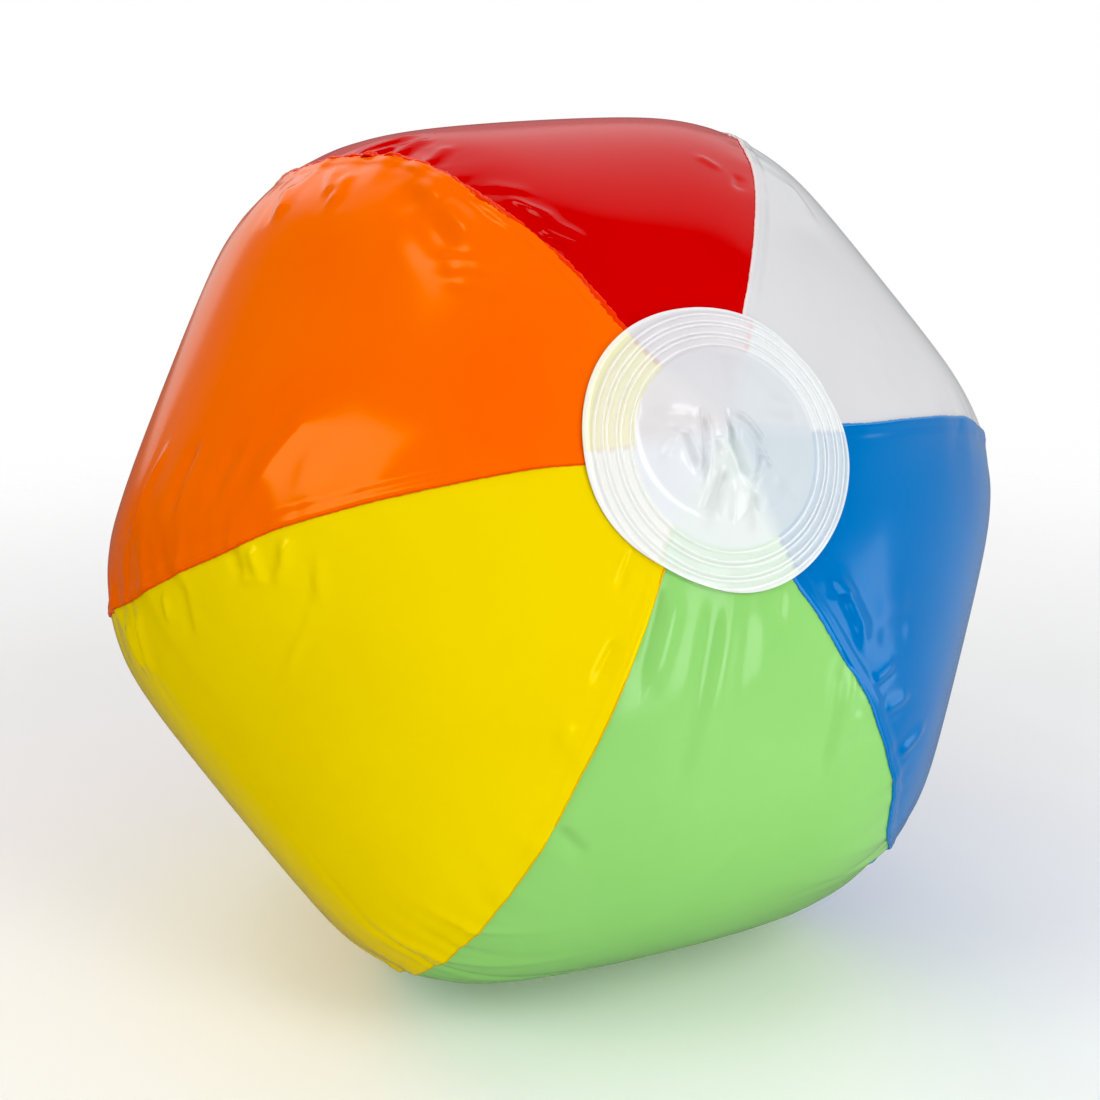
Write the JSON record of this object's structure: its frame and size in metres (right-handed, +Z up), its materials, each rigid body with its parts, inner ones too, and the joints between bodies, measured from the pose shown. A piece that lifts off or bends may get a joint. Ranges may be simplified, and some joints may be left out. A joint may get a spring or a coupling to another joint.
{
  "type": "inflatable beach ball",
  "caption": "Small inflated beach ball of welded coloured film panels with a milky round disc at each pole and a push-in air valve with a tethered plug in the rear disc.",
  "frame": {"origin": "middle of the small flat that the ball's weight presses into the film where it stands on the floor", "axes": "+Z up. The ball lies with its pole axis in the YZ plane: the plain pole looks towards -Y and 28 degrees up, the valve pole towards +Y and 28 degrees down. +X is to the right when the plain pole faces the viewer."},
  "size_m": [0.206, 0.1908, 0.1927],
  "materials": {
    "orange_film": "smooth glossy PVC film, orange",
    "yellow_film": "smooth glossy PVC film, yellow",
    "green_film": "smooth glossy PVC film, green",
    "blue_film": "smooth glossy PVC film, blue",
    "white_film": "smooth glossy PVC film, white",
    "red_film": "smooth glossy PVC film, red",
    "milky_film": "milky translucent PVC film with welded rings",
    "valve_moulding": "soft moulded clear-white PVC, satin"
  },
  "bodies": {
    "root": {"panel_orange": "orange_film", "panel_yellow": "yellow_film", "panel_green": "green_film", "panel_blue": "blue_film", "panel_white": "white_film", "panel_red": "red_film", "pole_disc_plain": "milky_film", "pole_disc_valve": "milky_film", "valve_flange": "valve_moulding", "valve_web": "valve_moulding"},
    "stem": {"valve_stem": "valve_moulding"},
    "plug": {"valve_plug": "valve_moulding", "plug_strap": "valve_moulding"},
    "flap": {"check_flap": "valve_moulding"}
  },
  "joints": [
    {"name": "stem_slide", "type": "slide", "parent": "root", "child": "stem", "axis": [0, 0.8829, -0.4695], "range_m": [0, 0.012], "deforming": ["valve_web"]},
    {"name": "plug_hinge", "type": "hinge", "parent": "stem", "child": "plug", "pos_m": [0, 0.08811, 0.0581], "axis": [1, 0, 0], "range_deg": [0, 150]},
    {"name": "flap_hinge", "type": "hinge", "parent": "stem", "child": "flap", "pos_m": [0, 0.07725, 0.06183], "axis": [-1, 0, 0], "range_deg": [0, 60], "stiffness_Nm_per_rad": 0.00005}
  ]
}
